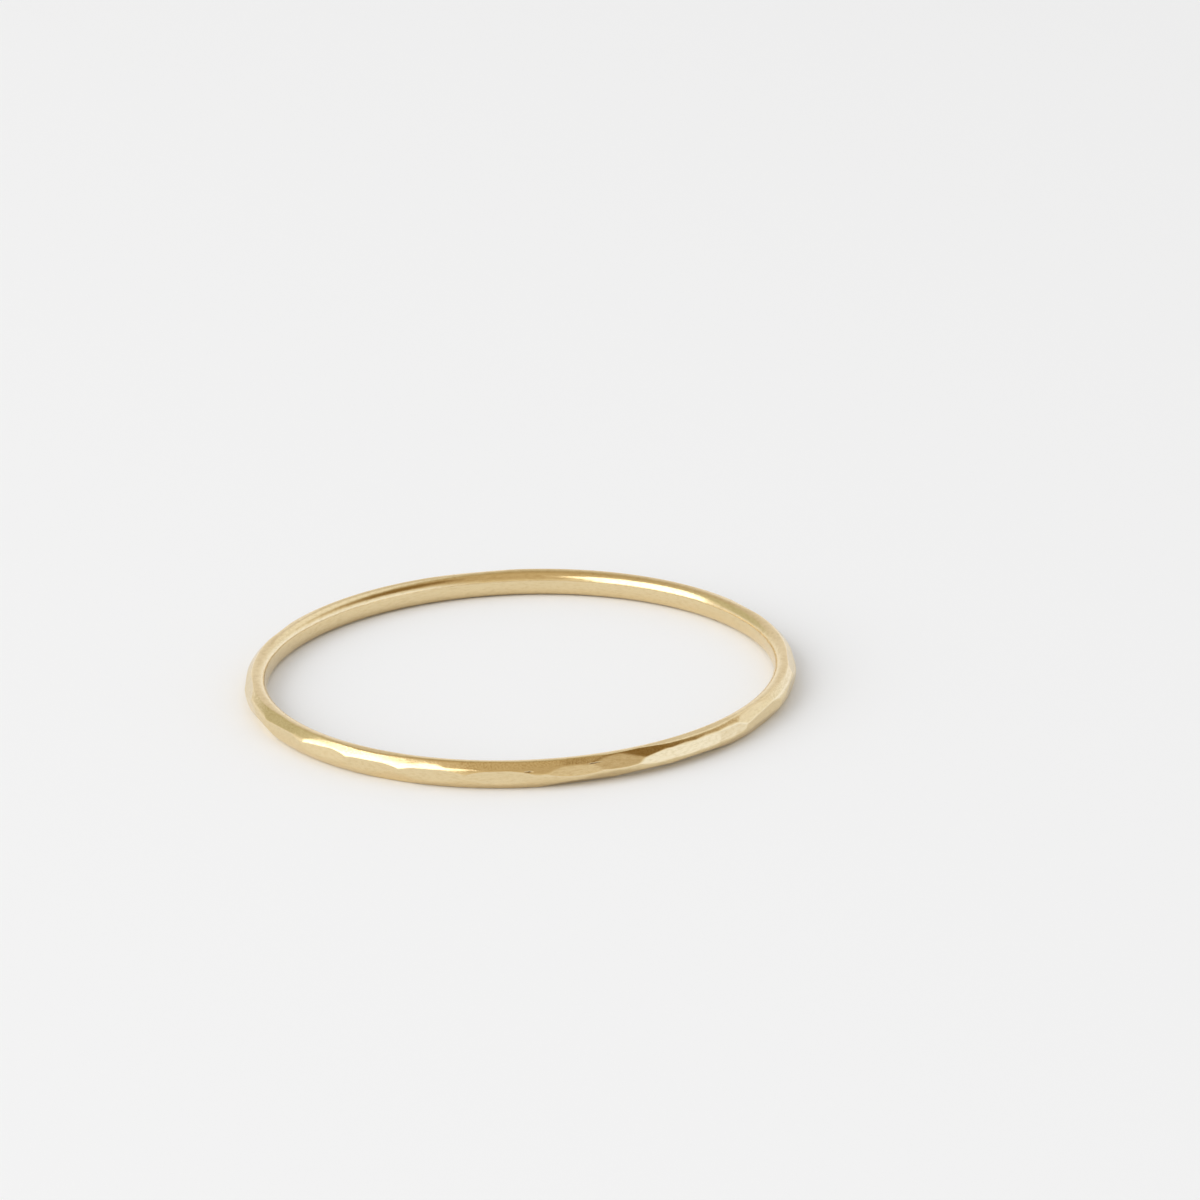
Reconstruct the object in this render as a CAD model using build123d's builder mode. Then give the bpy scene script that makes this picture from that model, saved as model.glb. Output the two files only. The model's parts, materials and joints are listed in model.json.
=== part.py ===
from build123d import *
from collections import namedtuple
from math import cos, radians, sin, tan
import os

# A thin stacking ring: one loop of gold-coloured wire, soldered shut, rounded on a
# mandrel and struck all round its outside with a small hammer. It lies on its side:
# the finger's axis is +Z, and the origin is on that axis, in the plane that the
# lower edge of the ring rests on. Angles round the ring start at the front, -Y,
# and grow towards +X.

# Driving dimensions, mm
finger_diameter = 17.3
wire_height = 0.92
wire_thickness = 0.75
crown_round = 0.42
shoulder_deg = 48
edge_round = 0.15
inner_round = 0.36
chip_length = 6.0
chip_width = 3.0
flat_tolerance = 0.004

finger_radius = finger_diameter / 2
outer_radius = finger_radius + wire_thickness
wire_centre_radius = finger_radius + wire_thickness / 2
wire_centre_height = wire_height / 2

# The crown is an arc that runs smoothly into a straight shoulder on each side
shoulder = radians(shoulder_deg)
crown_half_height = crown_round * sin(shoulder)
crown_edge_radius = outer_radius - crown_round * (1 - cos(shoulder))
edge_radius = crown_edge_radius - (wire_height / 2 - crown_half_height) * tan(shoulder)

# Every strike leaves a flat. reach_mm is the flat's distance from the centre of the
# wire, and tilt_deg is how far it faces up from level.
Strike = namedtuple("Strike", "angle_deg tilt_deg reach_mm")

face_strikes = [
    Strike(-166, 3, 0.300),
    Strike(-152, -4, 0.312),
    Strike(-136, 2, 0.292),
    Strike(-121, 6, 0.308),
    Strike(-108, -3, 0.330),
    Strike(-92, 4, 0.326),
    Strike(-77, -2, 0.332),
    Strike(-59, 4, 0.300),
    Strike(-44.5, 12, 0.318),
    Strike(-32.5, 0, 0.305),
    Strike(-19, 0, 0.308),
    Strike(-4.8, 0, 0.304),
    Strike(10.8, 19, 0.328),
    Strike(29, 17, 0.325),
    Strike(35, 17, 0.320),
    Strike(41, 17, 0.318),
    Strike(47, 16, 0.318),
    Strike(60, 3, 0.285),
    Strike(77, -3, 0.328),
    Strike(94, 2, 0.334),
    Strike(111, -5, 0.326),
    Strike(127, 3, 0.304),
    Strike(142, -2, 0.295),
    Strike(156, 5, 0.310),
    Strike(175, -3, 0.294),
]

shoulder_strikes = [
    Strike(-46, 28, 0.352),
    Strike(-33, 32, 0.364),
    Strike(-19.5, 33, 0.366),
    Strike(-6, 47, 0.374),
    Strike(3.6, 34, 0.366),
    Strike(12, 48, 0.378),
    Strike(20, 31, 0.319),
    Strike(24.5, 41, 0.350),
    Strike(57, 38, 0.330),
    Strike(88, 34, 0.318),
    Strike(14, -58, 0.345),
    Strike(26, -62, 0.335),
    Strike(37, -60, 0.335),
    Strike(119, 40, 0.332),
    Strike(150, 32, 0.320),
    Strike(-172, 36, 0.326),
    Strike(-144, 33, 0.318),
    Strike(-114, 39, 0.330),
    Strike(-84, 32, 0.322),
    Strike(-61, 40, 0.345),
    Strike(18, -38, 0.330),
    Strike(60, -33, 0.322),
    Strike(104, -37, 0.326),
    Strike(148, -34, 0.320),
    Strike(-160, -38, 0.330),
    Strike(-116, -33, 0.324),
    Strike(-70, -36, 0.322),
    Strike(-28, -34, 0.330),
]

# light taps on the upper edge
top_strikes = [
    Strike(-33, 82, 0.442),
    Strike(38, 82, 0.426),
    Strike(78, 80, 0.440),
    Strike(125, 84, 0.445),
    Strike(-170, 82, 0.442),
    Strike(-120, 84, 0.444),
    Strike(-75, 81, 0.440),
]

strikes = face_strikes + shoulder_strikes + top_strikes


def strike_plane(strike):
    """The plane that a strike leaves, facing out of the wire."""
    around = radians(strike.angle_deg)
    tilt = radians(strike.tilt_deg)
    outward = Vector(sin(around), -cos(around), 0)
    facing = outward * cos(tilt) + Vector(0, 0, sin(tilt))
    wire_centre = outward * wire_centre_radius + Vector(0, 0, wire_centre_height)
    along_wire = Vector(cos(around), sin(around), 0)
    return Plane(wire_centre + facing * strike.reach_mm, x_dir=along_wire, z_dir=facing)


with BuildPart() as hammered_band:
    with BuildSketch(Plane.XZ) as wire_section:
        with BuildLine():
            crown = ThreePointArc(
                (crown_edge_radius, wire_centre_height - crown_half_height),
                (outer_radius, wire_centre_height),
                (crown_edge_radius, wire_centre_height + crown_half_height),
            )
            Polyline(
                crown @ 1,
                (edge_radius, wire_height),
                (finger_radius, wire_height),
                (finger_radius, 0),
                (edge_radius, 0),
                crown @ 0,
            )
        make_face()
        fillet(wire_section.vertices().group_by(Axis.X)[0], inner_round)
        fillet(wire_section.vertices().group_by(Axis.X)[-2], edge_round)
    revolve(axis=Axis.Z)
    # one cut for all the chips: cut one after another, a late chip can undo earlier ones
    with BuildSketch(*[strike_plane(strike) for strike in strikes]):
        Rectangle(chip_length, chip_width)
    extrude(amount=wire_thickness, mode=Mode.SUBTRACT)

for strike in strikes:
    flat = strike_plane(strike)
    if hammered_band.part.solid().is_inside(flat.origin + flat.z_dir * flat_tolerance):
        raise ValueError(f"{strike} left no flat")

hammered_band.part.label = "hammered_band"
os.makedirs("parts", exist_ok=True)
export_step(hammered_band.part, "parts/hammered_band.step")
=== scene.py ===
import json
from math import cos, pi, radians, sin

import bpy
import numpy as np
from mathutils import Matrix, Vector


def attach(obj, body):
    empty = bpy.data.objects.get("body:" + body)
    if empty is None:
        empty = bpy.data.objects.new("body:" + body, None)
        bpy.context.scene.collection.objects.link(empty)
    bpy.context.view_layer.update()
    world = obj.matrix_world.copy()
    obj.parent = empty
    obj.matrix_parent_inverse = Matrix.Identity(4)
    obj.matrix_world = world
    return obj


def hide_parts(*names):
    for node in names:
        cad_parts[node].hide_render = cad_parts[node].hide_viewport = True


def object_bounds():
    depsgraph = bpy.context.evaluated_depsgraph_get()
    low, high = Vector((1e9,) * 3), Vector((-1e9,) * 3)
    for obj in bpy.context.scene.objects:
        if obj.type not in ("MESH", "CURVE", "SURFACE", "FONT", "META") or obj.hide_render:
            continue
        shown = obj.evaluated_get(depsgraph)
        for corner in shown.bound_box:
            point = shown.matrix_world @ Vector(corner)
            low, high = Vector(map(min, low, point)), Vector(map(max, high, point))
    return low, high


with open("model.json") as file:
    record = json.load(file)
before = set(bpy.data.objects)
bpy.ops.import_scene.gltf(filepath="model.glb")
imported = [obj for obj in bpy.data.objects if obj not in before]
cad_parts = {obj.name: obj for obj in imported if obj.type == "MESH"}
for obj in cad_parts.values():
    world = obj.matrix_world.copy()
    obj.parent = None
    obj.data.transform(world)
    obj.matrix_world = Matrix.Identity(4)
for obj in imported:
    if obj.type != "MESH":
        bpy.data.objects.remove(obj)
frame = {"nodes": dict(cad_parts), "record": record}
cadLow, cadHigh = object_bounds()
mm = 0.001
print("frame loaded:", sorted(frame["nodes"]))


# ring of hammered wire: sizes in mm, angles in degrees, 0 at the front and growing towards +X
band = {
    "wireThickness": 0.75,
    "shoulderCut": 0.285,      # corner taken off the outside of the wire, above and below
    "crownRound": 0.165,
    "edgeRound": 0.05,
    "innerRound": 0.36,
    "crownSteps": 12,
    "edgeSteps": 4,
    "innerSteps": 7,
    "longestEdge": 0.05,       # of the section's straight stretches
    "stepsRound": 1280,
    "seamGap": 0.0001,
    "smoothPasses": 3,
    "smoothShare": 0.5,
    "tolerance": 0.01,
}

# angle round the ring, how far the flat faces up, distance of the flat from the wire's centre
faceStrikes = [
    (-166, 3, 0.300), (-152, -4, 0.312), (-136, 2, 0.292), (-121, 6, 0.308),
    (-108, -3, 0.330), (-92, 4, 0.326), (-77, -2, 0.332), (-59, 4, 0.300),
    (-44.5, 12, 0.318), (-32.5, 0, 0.305), (-19, 0, 0.308), (-4.8, 0, 0.304),
    (10.8, 19, 0.328), (29, 17, 0.325), (35, 17, 0.320), (41, 17, 0.318), (47, 16, 0.318),
    (60, 3, 0.285), (77, -3, 0.328), (94, 2, 0.334), (111, -5, 0.326),
    (127, 3, 0.304), (142, -2, 0.295), (156, 5, 0.310), (175, -3, 0.294),
]
shoulderStrikes = [
    (-46, 28, 0.352), (-33, 32, 0.364), (-19.5, 33, 0.366), (-6, 47, 0.374), (3.6, 34, 0.366),
    (12, 48, 0.378), (20, 31, 0.319), (24.5, 41, 0.350), (57, 38, 0.330), (88, 34, 0.318),
    (14, -58, 0.345), (26, -62, 0.335), (37, -60, 0.335),
    (119, 40, 0.332), (150, 32, 0.320), (-172, 36, 0.326), (-144, 33, 0.318),
    (-114, 39, 0.330), (-84, 32, 0.322), (-61, 40, 0.345),
    (18, -38, 0.330), (60, -33, 0.322), (104, -37, 0.326), (148, -34, 0.320),
    (-160, -38, 0.330), (-116, -33, 0.324), (-70, -36, 0.322), (-28, -34, 0.330),
]
topStrikes = [
    (-33, 82, 0.442), (38, 82, 0.426), (78, 80, 0.440), (125, 84, 0.445),
    (-170, 82, 0.442), (-120, 84, 0.444), (-75, 81, 0.440),
]

fingerBore = next(m for m in frame["record"]["mounts"] if m["name"] == "finger_bore")
fingerRadius = fingerBore["dims"]["r_mm"] * mm
wireHeight = cadHigh.z - cadLow.z
wireThickness = band["wireThickness"] * mm
wireCentreRadius = fingerRadius + wireThickness / 2
wireCentreHeight = cadLow.z + wireHeight / 2
outerRadius = fingerRadius + wireThickness


def deselectAll(kind):
    # kind is VERT or EDGE; leaves the piece in object mode
    bpy.ops.object.mode_set(mode="EDIT")
    bpy.ops.mesh.select_mode(type=kind)
    bpy.ops.mesh.select_all(action="DESELECT")
    bpy.ops.object.mode_set(mode="OBJECT")


def selectVerts(piece, test):
    # test takes an array of points and gives a mask; leaves the piece in edit mode
    deselectAll("VERT")
    points = np.empty(len(piece.data.vertices) * 3, np.float32)
    piece.data.vertices.foreach_get("co", points)
    piece.data.vertices.foreach_set("select", test(points.reshape(-1, 3)))
    bpy.ops.object.mode_set(mode="EDIT")


def roundCorners(piece, radiusWanted, size, steps):
    # rounds the section's corners that stand at one distance from the ring's axis
    near = band["tolerance"] * mm
    selectVerts(piece, lambda p: abs(p[:, 0] - radiusWanted) < near)
    bpy.ops.mesh.bevel(offset=size, offset_type="OFFSET", affect="VERTICES", segments=steps)
    bpy.ops.object.mode_set(mode="OBJECT")


def subdivideLong(piece, longest):
    # halves the section's straight edges until none is longer than wanted
    anyLong = True
    while anyLong:
        deselectAll("EDGE")
        for edge in piece.data.edges:
            a, b = (piece.data.vertices[i].co for i in edge.vertices)
            edge.select = (a - b).length > longest
        anyLong = any(edge.select for edge in piece.data.edges)
        if anyLong:
            bpy.ops.object.mode_set(mode="EDIT")
            bpy.ops.mesh.subdivide(number_cuts=1)
            bpy.ops.object.mode_set(mode="OBJECT")


def wireSection():
    # the section stands in the XZ plane, at the right of the ring
    bpy.ops.object.select_all(action="DESELECT")
    bpy.ops.mesh.primitive_plane_add(size=1, location=(0, 0, 0))
    piece = bpy.context.object
    piece.name = "hammeredWire"
    bpy.ops.object.mode_set(mode="EDIT")
    bpy.ops.transform.rotate(value=pi / 2, orient_axis="X", center_override=(0, 0, 0))
    bpy.ops.transform.resize(value=(wireThickness, 1, wireHeight), center_override=(0, 0, 0))
    bpy.ops.transform.translate(value=(wireCentreRadius, 0, wireCentreHeight))
    bpy.ops.object.mode_set(mode="OBJECT")
    shoulderCut = band["shoulderCut"] * mm
    roundCorners(piece, outerRadius, shoulderCut, 1)
    roundCorners(piece, outerRadius - shoulderCut, band["edgeRound"] * mm, band["edgeSteps"])
    roundCorners(piece, outerRadius, band["crownRound"] * mm, band["crownSteps"])
    roundCorners(piece, fingerRadius, band["innerRound"] * mm, band["innerSteps"])
    bpy.ops.object.mode_set(mode="EDIT")
    bpy.ops.mesh.select_all(action="SELECT")
    bpy.ops.mesh.delete(type="ONLY_FACE")
    bpy.ops.object.mode_set(mode="OBJECT")
    subdivideLong(piece, band["longestEdge"] * mm)
    return piece


def strike(piece, angleDeg, tiltDeg, reach):
    # one blow of the hammer: what stands beyond the flat is pressed back to it
    angle, tilt = radians(angleDeg), radians(tiltDeg)
    outward = Vector((sin(angle), -cos(angle), 0))
    facing = outward * cos(tilt) + Vector((0, 0, sin(tilt)))
    alongWire = Vector((cos(angle), sin(angle), 0))
    centre = outward * wireCentreRadius + Vector((0, 0, wireCentreHeight))
    flat = centre + facing * reach * mm
    selectVerts(piece, lambda p: (p - np.array(flat)) @ np.array(facing) > 0)
    axes = Matrix((alongWire, facing.cross(alongWire), facing)).transposed()
    bpy.ops.transform.resize(value=(1, 1, 0), orient_type="GLOBAL", orient_matrix=axes,
                             orient_matrix_type="GLOBAL", center_override=flat)
    bpy.ops.object.mode_set(mode="OBJECT")


def applyModifier(piece, name, kind, **values):
    modifier = piece.modifiers.new(name, kind)
    for key, value in values.items():
        setattr(modifier, key, value)
    bpy.ops.object.modifier_apply(modifier=name)


def makeBand():
    piece = wireSection()
    sectionPoints = len(piece.data.vertices)
    applyModifier(piece, "turn", "SCREW", axis="Z", angle=2 * pi, steps=band["stepsRound"],
                  use_merge_vertices=True, merge_threshold=band["seamGap"] * mm,
                  use_smooth_shade=True)
    bpy.ops.object.mode_set(mode="EDIT")
    bpy.ops.mesh.select_all(action="SELECT")
    bpy.ops.mesh.normals_make_consistent(inside=False)
    bpy.ops.object.mode_set(mode="OBJECT")
    print("wire turned:", sectionPoints, "points in the section,", len(piece.data.polygons), "faces")
    strikes = faceStrikes + shoulderStrikes + topStrikes
    for row in strikes:
        strike(piece, *row)
    applyModifier(piece, "soften", "SMOOTH", factor=band["smoothShare"],
                  iterations=band["smoothPasses"])
    print("wire hammered:", len(strikes), "strikes")
    return piece


# material of the wire: satin on the hammered faces, grainy on the shoulders between them.
# Sizes and depths in mm. The limits are where a noise begins to show and where it shows in full.
gold = {
    "colour": (0.825, 0.67, 0.40, 1),
    "deepColour": (0.66, 0.49, 0.24, 1),
    "roughness": 0.2,
    "waveSize": 0.5,
    "waveDepth": 0.009,
    "waveDetail": 1,
    "grainSize": 0.05,
    "grainDepth": 0.0065,
    "grainDetail": 3,
    "faceGrain": 0.15,         # share of the grain that is left on the faces
    "shoulderGrain": 0.6,
    "shoulderTilt": (35, 42, 62, 75),      # degrees, where the grain comes in and goes out again
    "patchSize": 2.2,          # the grain comes and goes in patches of about this size
    "patchDetail": 2,
    "patchLimits": (0.4, 0.6),
    "patchLeast": 0.35,
    "pitSize": 0.06,
    "pitDetail": 2,
    "pitLimits": (0.38, 0.66),
    "pitShare": 0.8,
    "streakSize": 0.2,         # along the wire, a quarter of that across it
    "streakStretch": (1, 1, 4),
    "streakDetail": 4,
    "streakLimits": (0.42, 0.72),
    "streakShare": 0.4,
    # angle round the ring, height, half length and half width of each small nick; each nick is a
    # shallow dent whose darkness is painted shade in its colour
    "nicks": [(1.0, 0.650, 0.21, 0.034), (14.2, 0.735, 0.27, 0.024)],
    # painted shade: the dark colour that stands in for the shade inside the nicks
    "nickPaintedShade": (0.34, 0.23, 0.11, 1),
    "nickDepth": 0.015,
    "nickWaver": 0.045,
    "nickDetail": 2,
    "nickLimits": (0.7, 1.5),  # how far out it starts to fade and ends, with the waver counted in
}


def splitVector(tree, vector):
    split = tree.nodes.new("ShaderNodeSeparateXYZ")
    tree.links.new(vector, split.inputs["Vector"])
    return split.outputs


def makeDot(tree, first, second):
    dot = tree.nodes.new("ShaderNodeVectorMath")
    dot.operation = "DOT_PRODUCT"
    for socket, source in zip(dot.inputs, (first, second)):
        if isinstance(source, Vector):
            socket.default_value = source
        else:
            tree.links.new(source, socket)
    return dot.outputs["Value"]


def makeMath(tree, operation, *sources):
    node = tree.nodes.new("ShaderNodeMath")
    node.operation = operation
    for socket, source in zip(node.inputs, sources):
        if isinstance(source, (int, float)):
            socket.default_value = source
        else:
            tree.links.new(source, socket)
    return node.outputs["Value"]


def makeMix(tree, share, first, second):
    mix = tree.nodes.new("ShaderNodeMix")
    mix.data_type = "RGBA"
    for name, source in (("Factor", share), ("A", first), ("B", second)):
        # plain, vector and colour sockets share these names, and only those in use are enabled
        socket = next(s for s in mix.inputs if s.name == name and s.enabled)
        if isinstance(source, tuple):
            socket.default_value = source
        else:
            tree.links.new(source, socket)
    return next(s for s in mix.outputs if s.enabled)


def makeSmoothStep(tree, source, low, high):
    # rises from 0 at low to 1 at high, and falls where low is the larger one
    step = tree.nodes.new("ShaderNodeMapRange")
    step.interpolation_type = "SMOOTHSTEP"
    tree.links.new(source, step.inputs["Value"])
    step.inputs["From Min"].default_value = low
    step.inputs["From Max"].default_value = high
    return step.outputs["Result"]


def makeNoise(tree, place, size, detail):
    noise = tree.nodes.new("ShaderNodeTexNoise")
    noise.inputs["Scale"].default_value = 1 / (size * mm)
    noise.inputs["Detail"].default_value = detail
    tree.links.new(place, noise.inputs["Vector"])
    return noise.outputs["Fac"]


def makeStretch(tree, place, factors):
    stretch = tree.nodes.new("ShaderNodeVectorMath")
    stretch.operation = "MULTIPLY"
    tree.links.new(place, stretch.inputs[0])
    stretch.inputs[1].default_value = factors
    return stretch.outputs["Vector"]


def makeBump(tree, place, size, depth, detail):
    bump = tree.nodes.new("ShaderNodeBump")
    bump.inputs["Distance"].default_value = depth * mm
    tree.links.new(makeNoise(tree, place, size, detail), bump.inputs["Height"])
    return bump


def makeNickAndShade(tree, place, angleDeg, height, halfLength, halfWidth):
    # the mask of one nick, used both for its dent and for the painted shade in it
    turn = radians(angleDeg)
    spot = tree.nodes.new("ShaderNodeMapping")
    spot.vector_type = "TEXTURE"
    tree.links.new(place, spot.inputs["Vector"])
    outside = (outerRadius * sin(turn), -outerRadius * cos(turn), height * mm)
    spot.inputs["Location"].default_value = outside
    spot.inputs["Rotation"].default_value = (0, 0, turn)
    spot.inputs["Scale"].default_value = (halfLength * mm, wireThickness, halfWidth * mm)
    size = tree.nodes.new("ShaderNodeVectorMath")
    size.operation = "LENGTH"
    tree.links.new(spot.outputs["Vector"], size.inputs[0])
    # its edge wavers
    ragged = makeNoise(tree, place, gold["nickWaver"], gold["nickDetail"])
    reach = makeMath(tree, "ADD", size.outputs["Value"], ragged)
    return makeMath(tree, "SUBTRACT", 1, makeSmoothStep(tree, reach, *gold["nickLimits"]))


def shoulderShare(tree, place, normal):
    # how much of a spot is grainy shoulder: tilted up on the outside of the wire, and in patches
    comesIn, full, stillFull, gone = (sin(radians(angle)) for angle in gold["shoulderTilt"])
    upward = splitVector(tree, normal)["Z"]
    rising = makeSmoothStep(tree, upward, comesIn, full)
    falling = makeSmoothStep(tree, upward, gone, stillFull)
    onOutside = makeMath(tree, "GREATER_THAN", makeDot(tree, place, normal), 0)
    onShoulder = makeMath(tree, "MULTIPLY", onOutside, makeMath(tree, "MULTIPLY", rising, falling))
    patches = makeNoise(tree, place, gold["patchSize"], gold["patchDetail"])
    patches = makeSmoothStep(tree, patches, *gold["patchLimits"])
    patches = makeMath(tree, "MULTIPLY_ADD", patches, 1 - gold["patchLeast"], gold["patchLeast"])
    return makeMath(tree, "MULTIPLY", onShoulder, patches)


def unevenSurface(tree, place, onShoulder):
    # low waves, and a fine grain over them that is strongest on the shoulders
    waves = makeBump(tree, place, gold["waveSize"], gold["waveDepth"], gold["waveDetail"])
    grain = makeBump(tree, place, gold["grainSize"], gold["grainDepth"], gold["grainDetail"])
    extra = gold["shoulderGrain"] - gold["faceGrain"]
    grainShare = makeMath(tree, "MULTIPLY_ADD", onShoulder, extra, gold["faceGrain"])
    tree.links.new(grainShare, grain.inputs["Strength"])
    tree.links.new(waves.outputs["Normal"], grain.inputs["Normal"])
    return grain.outputs["Normal"]


def unevenColour(tree, place, onShoulder):
    # the pits of the grain and faint streaks along the wire are deeper in colour
    pits = makeNoise(tree, place, gold["pitSize"], gold["pitDetail"])
    pits = makeSmoothStep(tree, pits, *gold["pitLimits"])
    pits = makeMath(tree, "MULTIPLY", makeMath(tree, "MULTIPLY", pits, onShoulder), gold["pitShare"])
    drawn = makeStretch(tree, place, gold["streakStretch"])
    streaks = makeNoise(tree, drawn, gold["streakSize"], gold["streakDetail"])
    streaks = makeSmoothStep(tree, streaks, *gold["streakLimits"])
    streaks = makeMath(tree, "MULTIPLY", streaks, gold["streakShare"])
    deeper = makeMath(tree, "MAXIMUM", pits, streaks)
    return makeMix(tree, deeper, gold["colour"], gold["deepColour"])


def goldMaterial():
    material = bpy.data.materials.new("paleHammeredGold")
    material.use_nodes = True
    tree = material.node_tree
    shader = tree.nodes["Principled BSDF"]
    shader.inputs["Metallic"].default_value = 1
    shader.inputs["Roughness"].default_value = gold["roughness"]
    coordinates = tree.nodes.new("ShaderNodeTexCoord").outputs
    place = coordinates["Object"]
    onShoulder = shoulderShare(tree, place, coordinates["Normal"])
    normal = unevenSurface(tree, place, onShoulder)
    colour = unevenColour(tree, place, onShoulder)
    for row in gold["nicks"]:
        # each nick is dented by bump, and its colour is darkened with painted shade
        nickAndShade = makeNickAndShade(tree, place, *row)
        colour = makeMix(tree, nickAndShade, colour, gold["nickPaintedShade"])
        dent = tree.nodes.new("ShaderNodeBump")
        dent.invert = True
        dent.inputs["Distance"].default_value = gold["nickDepth"] * mm
        tree.links.new(nickAndShade, dent.inputs["Height"])
        tree.links.new(normal, dent.inputs["Normal"])
        normal = dent.outputs["Normal"]
    tree.links.new(normal, shader.inputs["Normal"])
    tree.links.new(colour, shader.inputs["Base Color"])
    return material


# room, lamp and camera: distances in m, angles in degrees, azimuth from the front towards the right
studio = {
    "floorSize": 4,
    "floorColour": (0.91, 0.91, 0.91, 1),
    "floorRoughness": 0.9,
    "floorShine": 0.1,
    "skyColour": (0.98, 0.98, 0.98, 1),
    "skyStrength": 0.742,
    # colours of the room from front to back overhead, and from the floor up at either side
    "frontToBack": [
        (0.00, (0.92, 0.89, 0.84)), (0.06, (0.77, 0.68, 0.51)), (0.14, (0.64, 0.53, 0.35)),
        (0.25, (0.59, 0.48, 0.31)), (0.40, (0.65, 0.54, 0.36)), (0.50, (0.60, 0.49, 0.31)),
        (0.56, (0.51, 0.42, 0.26)), (0.68, (0.53, 0.44, 0.29)), (0.76, (0.62, 0.56, 0.47)),
        (0.85, (0.79, 0.75, 0.70)), (0.93, (0.96, 0.95, 0.94)), (1.00, (1.12, 1.13, 1.15)),
    ],
    "leftSide": [
        (0.00, (1.01, 1.01, 1.03)), (0.25, (0.91, 0.89, 0.86)), (0.40, (0.79, 0.74, 0.65)),
        (0.70, (0.68, 0.63, 0.52)), (0.88, (0.73, 0.67, 0.56)), (1.00, (0.62, 0.51, 0.33)),
    ],
    "rightSide": [
        (0.00, (1.12, 1.25, 1.59)), (0.30, (1.05, 1.11, 1.23)), (0.50, (0.85, 0.80, 0.72)),
        (0.62, (0.58, 0.48, 0.32)), (0.80, (0.53, 0.44, 0.29)), (1.00, (0.61, 0.50, 0.33)),
    ],
    "sideLimits": (0.2, 0.8),  # how far to the side the colours of the sides come in and take over
    # azimuth, elevation, reach of the edge and of the core, colour: a dark corner high on the right,
    # a pale wall behind on the right and shade behind on the left
    "patches": [
        (72, 53, 25, 8, (0.25, 0.15, 0.04, 1)),
        (145, 45, 26, 10, (1.01, 1.03, 1.06, 1)),
        (-128, 30, 26, 12, (0.61, 0.60, 0.46, 1)),
    ],
}
softbox = {
    "azimuth": -66,
    "elevation": 31,
    "distance": 0.9,
    "width": 1.0,
    "height": 0.8,
    "power": 5.1,
}
view = {
    "distance": 0.160,
    "elevation": 21.26,
    "roll": 2.09,
    "fieldOfView": 14.59,
    "turnLeft": 1.005,
    "turnUp": 0.852,
    "nearest": 0.01,
    "furthest": 10,
}


def makeFloor():
    bpy.ops.object.select_all(action="DESELECT")
    bpy.ops.mesh.primitive_plane_add(size=studio["floorSize"], location=(0, 0, 0))
    floor = bpy.context.object
    floor.name = "paleFloor"
    material = bpy.data.materials.new("paleFloor")
    material.use_nodes = True
    shader = material.node_tree.nodes["Principled BSDF"]
    shader.inputs["Base Color"].default_value = studio["floorColour"]
    shader.inputs["Roughness"].default_value = studio["floorRoughness"]
    shader.inputs["Specular IOR Level"].default_value = studio["floorShine"]
    floor.data.materials.append(material)


def direction(azimuth, elevation):
    a, e = radians(azimuth), radians(elevation)
    return Vector((sin(a) * cos(e), -cos(a) * cos(e), sin(e)))


def makeSoftbox():
    away = direction(softbox["azimuth"], softbox["elevation"])
    bpy.ops.object.light_add(type="AREA", location=away * softbox["distance"])
    lamp = bpy.context.object
    lamp.name = "leftSoftbox"
    lamp.data.shape = "RECTANGLE"
    lamp.data.size = softbox["width"]
    lamp.data.size_y = softbox["height"]
    lamp.data.energy = softbox["power"]
    lamp.rotation_mode = "QUATERNION"
    lamp.rotation_quaternion = away.to_track_quat("Z", "Y")


def makeRamp(tree, source, stops):
    ramp = tree.nodes.new("ShaderNodeValToRGB")
    elements = ramp.color_ramp.elements
    while len(elements) < len(stops):
        elements.new(1)
    for element, (position, colour) in zip(elements, stops):
        element.position = position
        element.color = (*colour, 1)
    tree.links.new(source, ramp.inputs["Fac"])
    return ramp.outputs["Color"]


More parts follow.
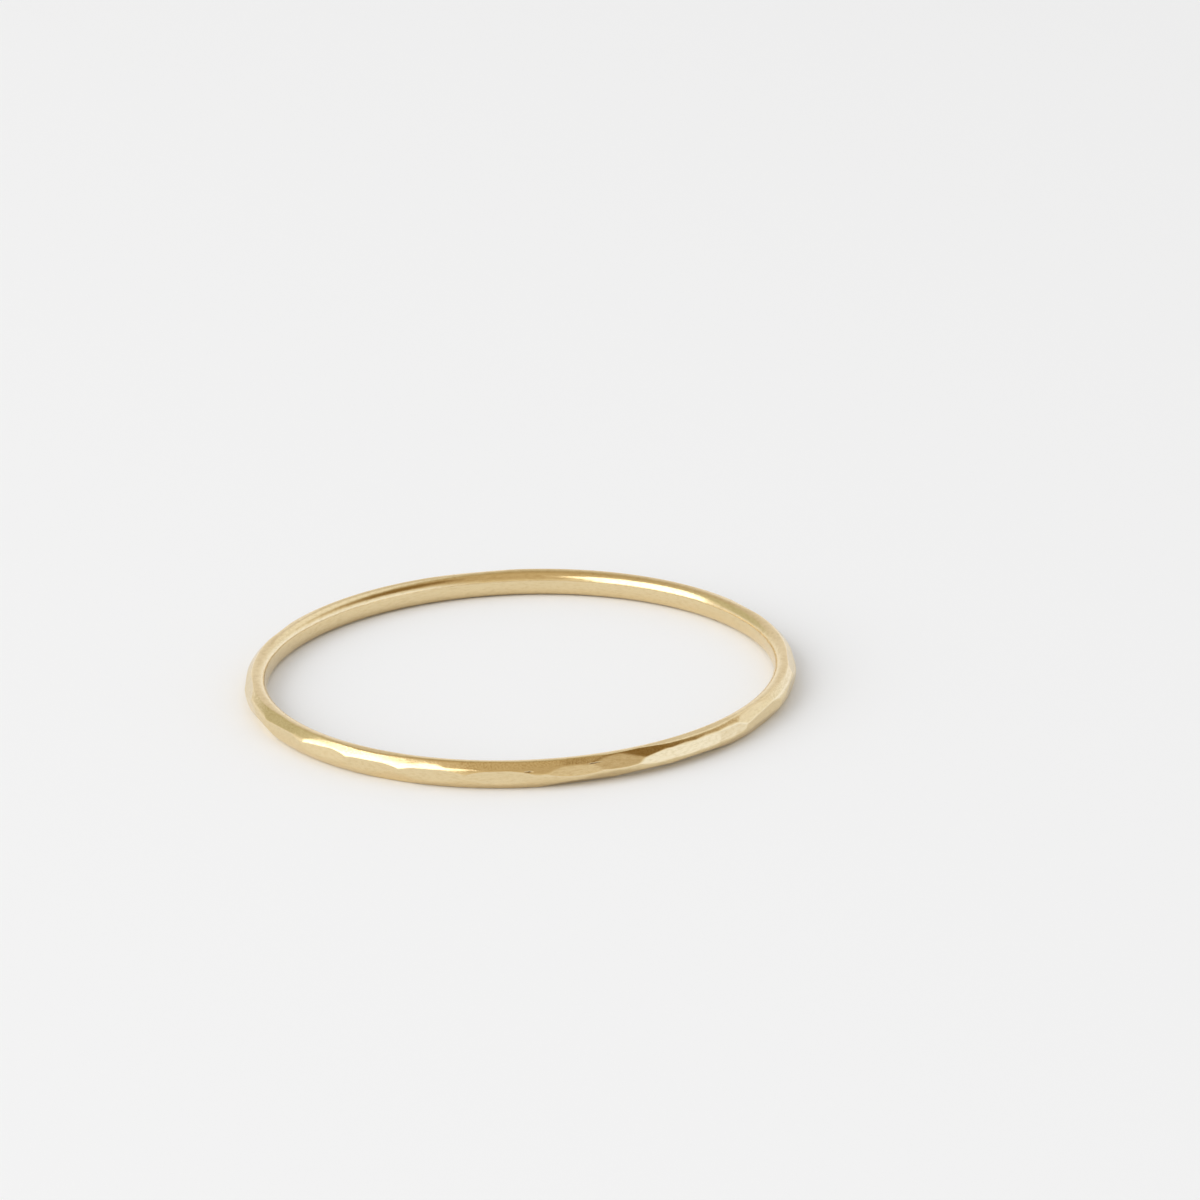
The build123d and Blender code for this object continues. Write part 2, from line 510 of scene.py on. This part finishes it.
def makeWorld():
    # a room that is pale at the back and at the sides, and darker and warmer in front and overhead
    world = bpy.data.worlds.new("softRoom")
    bpy.context.scene.world = world
    world.use_nodes = True
    tree = world.node_tree
    background = tree.nodes["Background"]
    place = tree.nodes.new("ShaderNodeTexCoord").outputs["Generated"]
    parts = splitVector(tree, place)
    x, y, z = parts["X"], parts["Y"], parts["Z"]
    turn = makeMath(tree, "ARCTAN2", z, makeMath(tree, "MULTIPLY", y, -1))
    along = makeRamp(tree, makeMath(tree, "DIVIDE", turn, pi), studio["frontToBack"])
    left = makeRamp(tree, z, studio["leftSide"])
    right = makeRamp(tree, z, studio["rightSide"])
    sides = makeMix(tree, makeMath(tree, "GREATER_THAN", x, 0), left, right)
    sideways = makeSmoothStep(tree, makeMath(tree, "ABSOLUTE", x), *studio["sideLimits"])
    room = makeMix(tree, sideways, along, sides)
    for azimuth, elevation, edge, core, colour in studio["patches"]:
        towards = makeDot(tree, place, direction(azimuth, elevation))
        share = makeSmoothStep(tree, towards, cos(radians(edge)), cos(radians(core)))
        room = makeMix(tree, share, room, colour)
    tree.links.new(room, background.inputs["Color"])
    # what is matt is lit by a plain pale sky, what shines shows the room
    sky = tree.nodes.new("ShaderNodeBackground")
    sky.inputs["Color"].default_value = studio["skyColour"]
    sky.inputs["Strength"].default_value = studio["skyStrength"]
    path = tree.nodes.new("ShaderNodeLightPath")
    shiny = makeMath(tree, "MAXIMUM", path.outputs["Is Glossy Ray"], path.outputs["Is Camera Ray"])
    shiny = makeMath(tree, "MAXIMUM", shiny, path.outputs["Is Transmission Ray"])
    choose = tree.nodes.new("ShaderNodeMixShader")
    tree.links.new(shiny, choose.inputs["Fac"])
    tree.links.new(sky.outputs["Background"], choose.inputs[1])
    tree.links.new(background.outputs["Background"], choose.inputs[2])
    tree.links.new(choose.outputs["Shader"], tree.nodes["World Output"].inputs["Surface"])


def makeCamera():
    ring = Vector((0, 0, wireCentreHeight))
    away = direction(0, view["elevation"])
    data = bpy.data.cameras.new("ringCamera")
    camera = bpy.data.objects.new("ringCamera", data)
    bpy.context.collection.objects.link(camera)
    bpy.context.scene.camera = camera
    data.angle = radians(view["fieldOfView"])
    data.clip_start = view["nearest"]
    data.clip_end = view["furthest"]
    turn = away.to_track_quat("Z", "Y").to_matrix()
    turn = turn @ Matrix.Rotation(radians(-view["turnLeft"]), 3, "Y")
    turn = turn @ Matrix.Rotation(radians(view["turnUp"]), 3, "X")
    turn = turn @ Matrix.Rotation(radians(-view["roll"]), 3, "Z")
    camera.location = ring + away * view["distance"]
    camera.rotation_mode = "QUATERNION"
    camera.rotation_quaternion = turn.to_quaternion()


makeCamera()
wire = makeBand()
wire.data.materials.append(goldMaterial())
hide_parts("hammered_band")
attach(wire, "root")
makeFloor()
makeWorld()
makeSoftbox()
bpy.context.scene.view_settings.view_transform = "Standard"
print("room, lamp and camera made")
